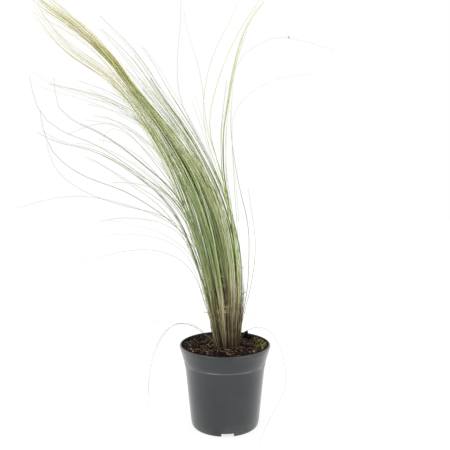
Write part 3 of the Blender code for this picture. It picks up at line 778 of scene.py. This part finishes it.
locks["left_fan"] = dict(
    plainLock, hairs=20, width=0.4, shortest=0.5, even=1.3, stray=3.2, peel=0.5, dry=0.1, grey=0.6,
    light=0.05, low=0.06, strayWidths=(0.4, 0.38, 0.3), strayGrey=0.7,
    girth=(4.4, 6, 8, 12, 16, 19, 22, 24),
    path=((-9, -13, 103), (-18, -19, 170), (-29, -25, 214), (-42, -31, 257), (-54, -36, 282),
          (-75, -42, 309), (-99, -47, 327), (-129, -54, 350), (-159, -61, 368), (-188, -68, 377),
          (-211, -74, 395), (-218, -79, 417), (-220, -84, 438)),
)
locks["front_lock"] = dict(
    plainLock, sheaths=82, hairs=24, even=1.3, stray=1.4, dry=0.1, light=0.08, low=0.02,
    strayWidths=(0.42, 0.42, 0.4, 0.4, 0.4), strayGrey=0.5,
    girth=(4.4, 6, 8, 11, 14, 17, 20, 24),
    path=((0, -18, 103), (-4, -32, 173), (-10, -45, 217), (-19, -58, 259), (-32, -72, 299),
          (-48, -85, 334), (-67, -97, 357), (-85, -108, 376), (-103, -117, 390), (-123, -126, 397),
          (-142, -135, 400)),
)
locks["front_right_lock"] = dict(
    plainLock, sheaths=82, hairs=20, width=0.44, light=-0.02,
    girth=(4.4, 6, 8, 10, 12, 14, 17, 20),
    path=((11, -16, 103), (10, -22, 170), (8, -27, 214), (1, -32, 257), (-10, -38, 298),
          (-27, -45, 339), (-48, -51, 374), (-70, -58, 407), (-90, -64, 435), (-109, -70, 458),
          (-125, -75, 477)),
)
locks["upright_lock"] = dict(
    plainLock, hairs=7, width=0.46, shortest=0.5, even=1.3, dry=0.5, grey=0, low=0.02,
    strayWidths=(0.85, 0.7, 0.7, 0.3), strayGrey=0.1, girth=(4.4, 4, 5, 5, 5, 5, 6, 9),
    path=((18, -9, 103), (16, -11, 168), (15, -12, 212), (10, -13, 255), (4, -15, 298),
          (-2, -16, 331), (-3, -17, 365), (-2, -18, 390), (2, -19, 414), (6, -20, 443),
          (12, -21, 471), (19, -22, 497), (30, -23, 521), (47, -24, 542)),
)
locks["right_lock"] = dict(
    plainLock, hairs=17, width=0.48, stray=1.8, grey=0.45, light=-0.25, low=0.04,
    strayWidths=(0.5, 0.42, 0.24, 0.22), strayGrey=0.6, girth=(4.4, 6, 7, 8, 9, 11, 13, 16),
    path=((19, 2, 103), (19, 5, 165), (18, 7, 209), (11, 9, 253), (-2, 11, 297), (-22, 13, 341),
          (-43, 15, 380), (-64, 16, 411), (-83, 18, 439), (-99, 20, 467), (-121, 21, 496),
          (-143, 23, 518), (-164, 24, 538)),
)
locks["crest_lock"] = dict(
    plainLock, hairs=17, width=0.48, grey=0.45, light=-0.25, strayWidths=(0.46, 0.42, 0.2),
    strayGrey=0.5, girth=(4.4, 6, 8, 9, 11, 13, 15, 18),
    path=((13, 11, 103), (14, 16, 162), (13, 21, 207), (6, 27, 251), (-8, 33, 296), (-28, 39, 342),
          (-52, 46, 381), (-79, 52, 418), (-105, 58, 452), (-129, 64, 484), (-152, 70, 512),
          (-173, 74, 534)),
)
locks["back_lock"] = dict(
    plainLock, hairs=34, width=0.36, stray=1.4, grey=0.4, strayWidths=(0.3, 0.3), strayGrey=0.7,
    girth=(4.4, 6, 8, 11, 14, 18, 21, 26),
    path=((3, 14, 103), (5, 29, 159), (1, 42, 204), (-6, 55, 249), (-20, 69, 295), (-39, 83, 339),
          (-64, 96, 378), (-89, 108, 411), (-118, 119, 439), (-147, 130, 465), (-176, 140, 485)),
)
locks["high_fan"] = dict(
    plainLock, hairs=26, even=1.0, stray=1.8, peel=0.35, light=0.1, low=0.04,
    strayWidths=(0.42, 0.42, 0.42, 0.38, 0.34), strayGrey=0.5,
    girth=(4.4, 6, 8, 10, 11, 12, 14, 16),
    path=((-9, 9, 103), (-14, 13, 163), (-23, 17, 207), (-33, 21, 252), (-46, 27, 297),
          (-65, 32, 342), (-89, 38, 383), (-111, 42, 404), (-135, 46, 418), (-158, 49, 432),
          (-181, 53, 441), (-210, 57, 450), (-236, 60, 456), (-256, 63, 464), (-270, 66, 476)),
)

# Single blades that stray from their lock, each along its own path in mm
strays["under_lock"] = (
    ((-33, -7, 189), (-50, -8, 215), (-75, -10, 230), (-105, -11, 235), (-139, -14, 231),
     (-169, -16, 223), (-198, -18, 215), (-232, -20, 212)),
    ((-37, 0, 205), (-54, 1, 231), (-77, 3, 245), (-107, 5, 252), (-143, 7, 253), (-174, 9, 247),
     (-204, 11, 237), (-227, 12, 225), (-250, 14, 208)),
    ((-37, 5, 214), (-54, 9, 246), (-75, 12, 263), (-104, 15, 271), (-145, 20, 273),
     (-178, 24, 265), (-198, 27, 250), (-211, 30, 232)),
    ((-32, -15, 221), (-49, -20, 253), (-73, -25, 272), (-102, -30, 285), (-138, -37, 297),
     (-173, -44, 303), (-203, -50, 301), (-226, -55, 295), (-248, -60, 288)),
    ((-33, -2, 127), (-51, -1, 134), (-71, 1, 135), (-95, 3, 136), (-118, 6, 145), (-135, 9, 164),
     (-143, 11, 186), (-140, 14, 208), (-131, 16, 222)),
    ((-33, -9, 130), (-55, -14, 139), (-75, -21, 133), (-89, -30, 108), (-94, -42, 78),
     (-91, -54, 52), (-80, -62, 37)),
    ((-31, -6, 129), (-50, -9, 138), (-71, -12, 135), (-88, -18, 110), (-96, -24, 80),
     (-98, -31, 47), (-99, -40, 8)),
)
strays["left_fan"] = (
    ((-27, -25, 205), (-39, -32, 239), (-56, -37, 261), (-79, -44, 281), (-99, -50, 295),
     (-121, -56, 308), (-147, -64, 317), (-165, -69, 324), (-179, -74, 333), (-193, -80, 345),
     (-200, -85, 360), (-204, -90, 376), (-204, -96, 394)),
    ((-26, -18, 213), (-40, -20, 246), (-59, -22, 268), (-86, -25, 282), (-115, -27, 288),
     (-143, -29, 296), (-167, -32, 305), (-191, -34, 319), (-206, -36, 333), (-214, -38, 351),
     (-217, -40, 369)),
    ((-26, -41, 199), (-38, -56, 231), (-57, -71, 252), (-78, -86, 265), (-102, -103, 273),
     (-124, -120, 279)),
)
strays["front_lock"] = (
    ((-24, -15, 234), (-42, -22, 278), (-62, -30, 315), (-83, -38, 350), (-103, -45, 373),
     (-123, -52, 389), (-142, -60, 396)),
    ((-28, -20, 234), (-49, -29, 281), (-70, -38, 314), (-90, -48, 341), (-109, -57, 358),
     (-125, -66, 367), (-146, -75, 371)),
    ((-27, -25, 229), (-46, -30, 267), (-70, -35, 298), (-97, -40, 323), (-125, -45, 343),
     (-150, -50, 356)),
    ((-6, -38, 182), (-14, -54, 222), (-25, -71, 256), (-40, -88, 284), (-57, -104, 304),
     (-77, -120, 315), (-96, -135, 320), (-114, -150, 320)),
    ((6, -31, 181), (6, -44, 225), (3, -56, 263), (-3, -69, 299), (-10, -82, 330), (-19, -96, 359),
     (-27, -109, 383), (-34, -120, 403)),
)
strays["upright_lock"] = (
    locks["upright_lock"]["path"][1:],
    ((18, -12, 186), (13, -15, 247), (5, -18, 294), (-6, -21, 333), (-15, -24, 364),
     (-20, -26, 385), (-19, -27, 407), (-13, -30, 431), (-6, -32, 453), (3, -34, 476),
     (12, -36, 493), (21, -38, 510), (35, -40, 528), (44, -42, 544)),
    ((18, -15, 186), (12, -22, 256), (2, -29, 302), (-11, -35, 343), (-22, -40, 374),
     (-25, -44, 399), (-24, -48, 422), (-20, -53, 444), (-13, -57, 466), (-2, -62, 488),
     (10, -66, 506), (16, -70, 522)),
    ((19, -10, 177), (18, -12, 238), (14, -14, 289), (11, -16, 340), (9, -18, 381), (9, -20, 422),
     (12, -22, 457), (19, -23, 471), (32, -24, 483), (51, -25, 493), (71, -26, 498),
     (84, -27, 494), (109, -28, 488), (135, -30, 479)),
)
strays["right_lock"] = (
    ((28, 0, 166), (31, -1, 192), (32, -3, 228), (32, -4, 254), (28, -6, 280), (21, -7, 306),
     (15, -9, 336), (11, -11, 361), (8, -12, 386), (8, -14, 411)),
    ((30, 7, 164), (36, 10, 191), (40, 13, 221), (40, 17, 252), (34, 22, 288), (30, 26, 315)),
    ((28, 4, 132), (39, 5, 144), (52, 7, 151), (82, 10, 154)),
    ((31, -3, 128), (48, -8, 133), (64, -15, 123), (74, -25, 102), (77, -35, 79), (76, -43, 65),
     (68, -52, 49), (56, -63, 35), (45, -75, 20), (40, -84, 7)),
)
strays["crest_lock"] = (
    ((18, 14, 181), (15, 17, 234), (4, 21, 288), (-11, 24, 332), (-34, 28, 377), (-51, 31, 409),
     (-60, 33, 430), (-64, 35, 453), (-65, 37, 484), (-61, 41, 520), (-59, 44, 561),
     (-61, 46, 579)),
    ((19, 19, 180), (17, 26, 233), (9, 35, 287), (-5, 44, 333), (-20, 52, 374), (-28, 57, 402),
     (-31, 62, 431), (-34, 68, 459), (-42, 75, 493), (-52, 81, 522), (-59, 85, 544),
     (-62, 90, 566)),
    ((20, 16, 176), (21, 21, 234), (18, 27, 288), (13, 33, 342), (10, 37, 378), (11, 41, 410),
     (25, 45, 433), (48, 49, 450), (72, 52, 461), (99, 56, 466), (131, 60, 469)),
)
strays["back_lock"] = (
    ((3, 39, 176), (-1, 59, 220), (-12, 81, 266), (-27, 104, 309), (-46, 125, 347),
     (-67, 143, 376), (-92, 160, 398), (-121, 175, 413), (-150, 190, 422)),
    ((11, 34, 177), (12, 54, 230), (7, 72, 276), (-1, 90, 319), (-13, 107, 359), (-27, 123, 395),
     (-38, 137, 427), (-47, 150, 457)),
)
strays["high_fan"] = (
    ((-21, 0, 238), (-37, 3, 282), (-56, 6, 323), (-77, 9, 360), (-98, 11, 389), (-121, 14, 411),
     (-149, 17, 423), (-181, 20, 429)),
    ((-17, -5, 246), (-32, -6, 291), (-50, -7, 333), (-69, -8, 368), (-89, -8, 394),
     (-108, -9, 414), (-133, -10, 428)),
    ((-20, 14, 190), (-33, 17, 234), (-51, 21, 279), (-73, 25, 319), (-96, 29, 349),
     (-115, 32, 372), (-132, 35, 390), (-151, 37, 400), (-170, 39, 403), (-193, 41, 397),
     (-217, 44, 387)),
    ((-16, 23, 184), (-30, 36, 232), (-49, 49, 277), (-72, 62, 318), (-95, 73, 348),
     (-118, 83, 370), (-141, 92, 391), (-162, 99, 401), (-177, 104, 397), (-182, 110, 378)),
    ((-16, 29, 182), (-28, 44, 222), (-45, 59, 258), (-67, 74, 291), (-95, 89, 319),
     (-127, 105, 344), (-164, 123, 367), (-198, 137, 381), (-232, 150, 385)),
)


def spine(path):
    return rounded(path, 3) * mm


def evenly(points, count):
    # Points at even steps along a line, and the line's length
    at = np.concatenate([[0], np.cumsum(np.linalg.norm(np.diff(points, axis=0), axis=1))])
    wanted = np.linspace(0, at[-1], count)
    return np.stack([np.interp(wanted, at, points[:, k]) for k in range(3)], axis=1), at[-1]


def crossways(points):
    # Two directions square to the line at each of its points
    ahead = np.gradient(points, axis=0)
    ahead /= np.linalg.norm(ahead, axis=1)[:, None]
    level = np.cross(ahead, [0, 1, 0])
    level /= np.linalg.norm(level, axis=1)[:, None]
    return level, np.cross(level, ahead)


def waisted(points):
    # Draws the foot of the grass together, as leaf bases are packed at the soil
    low, top = soil["edgeHeight"], grass["waistTop"]
    share = np.clip((points[..., 2] - low) / (top - low), 0, 1)
    pull = grass["waist"] + (1 - grass["waist"]) * share
    out = points[..., :2] - soil["crown"]
    near = np.hypot(out[..., 0], out[..., 1]) < grass["waistReach"]
    drawn = points.copy()
    drawn[near, :2] = (soil["crown"] + out * pull[..., None])[near]
    return drawn


def wander(lock):
    # How a strand or a blade leaves its course: slow waves, and peeling away at the tip
    peel = draw.normal(0, 5 if draw.random() < lock["peel"] else 1.2, 2)
    return draw.uniform(0.6, 1.8), draw.uniform(0, anyTurn, 2), draw.normal(0, lock["stray"], 2), peel


def lockHairs(lock):
    # Fine blades, most of them bound in strands that keep together and some on their own
    steps = grass["steps"]
    middle = evenly(spine(lock["path"]), steps + 1)[0]
    level, deep = crossways(middle)
    t = np.linspace(0, 1, steps + 1)
    girth = np.interp(t, np.linspace(0, 1, len(lock["girth"])), lock["girth"]) * mm
    strands = max(3, lock["hairs"] // grass["strandSize"])
    shared = [wander(lock) for _ in range(strands)]
    hairs = []
    for n in range(lock["hairs"]):
        strand = n % strands
        reach = sqrt((strand + 0.5) / strands)
        angle = goldenAngle * strand
        spot = (reach * cos(angle), reach * sin(angle))
        bound = draw.random() < grass["bound"]
        slack = draw.normal(0, grass["boundSlack"] if bound else grass["freeSlack"], (2, 1))
        # Strands are loose at their foot and draw together above it
        slack = slack * (1 + 3 * bound * np.exp(-t / 0.1))
        wave, phase, swing, peel = shared[strand] if bound else wander(lock)
        offset = []
        for k in (0, 1):
            drift = swing[k] * mm * (0.3 + 2.2 * t) * np.sin(wave * anyTurn * t + phase[k])
            offset.append(girth * (spot[k] + slack[k]) + drift + peel[k] * mm * t**3 * 1.6)
        line = middle + offset[0][:, None] * level + offset[1][:, None] * deep
        share = lock["shortest"] + (1 - lock["shortest"]) * draw.random() ** lock["even"]
        if n == 0:
            # The first blade keeps to the lock's middle line as far as its tip
            line, share = middle, 1
        hairs.append(evenly(line[: round(steps * share) + 1], grass["rings"]))
    return hairs


def strayHair(lock, path):
    line, long = evenly(spine((lock["path"][0], *path)), grass["rings"])
    t = np.linspace(0, 1, grass["rings"])[:, None]
    return line + draw.normal(0, 0.7, 3) * mm * t + draw.normal(0, 1.2, 3) * mm * t**2, long


def makeLock(name, lock, skin):
    # Gives back the points of all its blades but the strays
    hairs = lockHairs(lock) + [strayHair(lock, path) for path in strays.get(name, ())]
    count = len(hairs)
    stray = np.arange(count) >= lock["hairs"]
    lines = waisted(np.array([line for line, _ in hairs]))
    lines[:, :, 2] = np.maximum(lines[:, :, 2], grass["lowest"])
    thick = draw.uniform(0.7, 1.35, count)[:, None] * lock["width"] * mm
    thick[stray, 0] = np.array(lock["strayWidths"]) * mm
    rising = np.linspace(0, 1, grass["rings"])
    radii = thick * np.interp(rising, *grass["taper"])
    section = [(-1, -0.35), (1, -0.35), (0, 0.75)]
    # Strays leave the lock above its brown foot, so their colours count from higher up
    reach = np.array([long for _, long in hairs])[:, None] * rising
    reach += grass["strayRise"] * stray[:, None]
    # A strand's blades are alike in tone, and one blade in ten is dry from low down
    strands = max(3, lock["hairs"] // grass["strandSize"])
    tone = draw.random(strands)[np.arange(count) % strands] + draw.normal(0, 0.24, count)
    tone += lock["light"]
    tone[stray] = 0.3 + 0.25 * draw.random(stray.sum())
    dry = draw.normal(lock["dry"], 0.14, count) + (draw.random(count) < grass["deadShare"]) * 1.3
    grey = np.clip(draw.normal(lock["grey"], 0.18, count), 0, 1)[:, None]
    grey = grey * np.clip(rising * 2.5 - 0.1, 0, 1)
    grey[stray] = lock["strayGrey"]
    mesh = stalkMesh(
        lines, radii, section, draw.uniform(0, anyTurn, count), reach=reach,
        tone=np.clip(tone, 0, 1)[:, None], dry=dry[:, None], grey=grey, low=lock["low"],
        husk=draw.random(count)[:, None],
    )
    slot = "straw_blade" if lock["dry"] > grass["strawFrom"] else "green_blade"
    addPiece(name + "Blades", mesh, skin, slot, name)
    if name == "upright_lock":
        makeSeed(lines[-1])
    return lines[~stray].reshape(-1, 3)


def makeSeed(blade):
    # One ripe seed with its two husks, left on the long blade that arches to the right
    at = blade[np.argmin(abs(blade[:, 0] - grass["seedAt"]))]
    ways = np.array([(1, 0.1, -0.5), (0.7, -0.5, 0.4), (0.9, 0.5, 0.1)])
    t = np.linspace(0, 1, 6)
    lines = at + t[None, :, None] * ways[:, None, :] * 3.2 * mm
    radii = np.outer((0.75, 0.4, 0.4), np.sin(pi * (0.06 + 0.88 * t))) * mm
    tone = np.array([[0.9], [1.0], [1.0]])
    mesh = stalkMesh(lines, radii, fiveSided, np.zeros(3), tone=tone)
    addPiece("seedHusk", mesh, sheathMaterial("seedSkin"), "straw_blade")


curls = dict(count=260, rings=18, heights=(138 * mm, 215 * mm), lengths=(4, 14), coils=(0.5, 2.2))


def makeCurls(blades, skin):
    # Dry curled shreds caught on the outer blades where the brown foot turns green
    count, rings = curls["count"], curls["rings"]
    t = np.linspace(0, 1, rings)[:, None]
    lines = np.zeros((count, rings, 3))
    for n in range(count):
        near = blades[abs(blades[:, 2] - draw.uniform(*curls["heights"])) < 4 * mm]
        angle = draw.uniform(0, anyTurn)
        out = (near - near.mean(axis=0)) @ (cos(angle), sin(angle), 0)
        start = near[np.argsort(out)[int(len(out) * draw.uniform(0.93, 1.0))]]
        way = draw.normal(0, 0.8, 3) + (0, 0, 1.0)
        way /= np.linalg.norm(way)
        side = np.cross(way, (0.3, 1, 0.2))
        side /= np.linalg.norm(side)
        coil = draw.uniform(*curls["coils"]) * mm
        turn = draw.uniform(1.5, 7.5) * t + angle
        curl = coil * (np.cos(turn) * side + np.sin(turn) * np.cross(way, side))
        lines[n] = start + draw.uniform(*curls["lengths"]) * mm * t * way + curl - curl[0]
    radii = draw.uniform(0.3, 0.5, count)[:, None] * mm * np.linspace(1.1, 0.6, rings)
    tone = draw.uniform(0.75, 1.2, count)[:, None]
    mesh = stalkMesh(lines, radii, diamond(0.5), draw.uniform(0, 6, count), tone=tone)
    addPiece("driedCurls", mesh, skin, "straw_blade")


sheaths = dict(rings=11, steps=400, lengths=(28, 92), widths=(0.2, 0.5), splay=2.0)


def makeSheaths(name, lock, skin):
    # Old leaf bases, flat strips that wrap the foot of the lock
    count, rings, steps = lock["sheaths"], sheaths["rings"], sheaths["steps"]
    middle, length = evenly(spine(lock["path"]), steps + 1)
    level, deep = crossways(middle)
    step = length / steps
    lines, radii = np.zeros((count, rings, 3)), np.zeros((count, rings))
    for n in range(count):
        long = draw.uniform(*sheaths["lengths"]) * mm
        angle = draw.uniform(0, anyTurn)
        reach = sqrt(draw.uniform(0.15, lock["around"]))
        wide = draw.uniform(*sheaths["widths"]) * mm
        splay = draw.normal(0, sheaths["splay"], 2) * mm
        for k in range(rings):
            t = k / (rings - 1)
            at = min(steps, round(long * t / step))
            grow = lock["sheath"] * mm * (0.92 + 0.35 * t) * reach
            lines[n, k] = middle[at] + level[at] * (grow * cos(angle) + splay[0] * t * t)
            lines[n, k] += deep[at] * (grow * sin(angle) + splay[1] * t * t)
            radii[n, k] = wide * (1.0 - 0.75 * t**2)
    tone = np.clip(draw.random(count) + lock["light"] * 0.6, 0, 1)[:, None]
    turns = draw.uniform(0, anyTurn, count)
    mesh = stalkMesh(waisted(lines), radii, diamond(0.3), turns, tone=tone)
    addPiece(name + "Sheaths", mesh, skin, "straw_blade")


def bladeMaterial():
    # reach is the distance up the blade in metres; the brown foot ends about 0.1 up
    skin = Material("bladeSkin", Specular_IOR_Level=0.4)
    reach, tone, dry = [skin.attribute(key) for key in ("reach", "tone", "dry")]
    streak = skin.noise(skin.joined(tone * 90.0, reach * 60.0, skin.attribute("edge") * 3.0), 1.0)
    mottle = skin.noise(skin.joined(tone * 70.0, reach * 34.0, 0.0), 1.0, 2.0) - 0.5
    fleck = tone + mottle
    foot = skin.ramp(skin.attribute("husk") + mottle * 0.7, grass["husks"])
    body = skin.layered(
        skin.ramp(fleck, grass["stripes"]),
        ((reach + dry * 0.25).above(0.42, 0.6), skin.ramp(fleck, grass["dried"])),
        (skin.attribute("grey"), grass["grey"]),
    )
    rise = reach + skin.attribute("low") + (tone - 0.5) * 0.07 + mottle * 0.1
    # Umber over the lowest 60 mm of each blade is painted shade near the soil; the umber streaks are
    # the blade's own marks
    skin.paint(
        foot, (rise.above(0.062, 0.12), body), (reach.above(0.06, 0.0) * 0.6, grass["umber"]),
        (streak.above(0.52, 0.75) * 0.4, grass["umber"]),
    )
    skin.put("Roughness", 0.32 + streak * 0.25)
    skin.bump(streak, 0.1 * mm, 0.6)
    return skin


def sheathMaterial(name):
    skin = Material(name, Specular_IOR_Level=0.3)
    tone, part, edge = [skin.attribute(key) for key in ("tone", "part", "edge")]
    streak = skin.noise(skin.joined(tone * 80.0, part * 5.0, edge * 9.0), 1.0, 4.0)
    # The umber over the lower part of each strip is painted shade near the soil; the umber streaks are
    # its own marks
    skin.paint(
        skin.ramp(tone + (part - 0.4) * 0.25 + (streak - 0.5) * 0.5, grass["husks"]),
        (tone.above(0.9, 0.93) * part.above(0.1, 0.5), grass["fresh"]),
        (streak.above(0.5, 0.7) * 0.65, grass["umber"]), (part.above(0.45, 0.0) * 0.6, grass["umber"]),
    )
    skin.put("Roughness", 0.55 + streak * 0.3)
    skin.bump(streak, 0.3 * mm, 0.8)
    return skin


def makeGrass():
    bladeSkin, sheathSkin = bladeMaterial(), sheathMaterial("sheathSkin")
    standing = []
    for name, lock in locks.items():
        standing.append(makeLock(name, lock, bladeSkin))
        makeSheaths(name, lock, sheathSkin)
    makeCurls(np.vstack(standing), sheathSkin)


makeGrass()
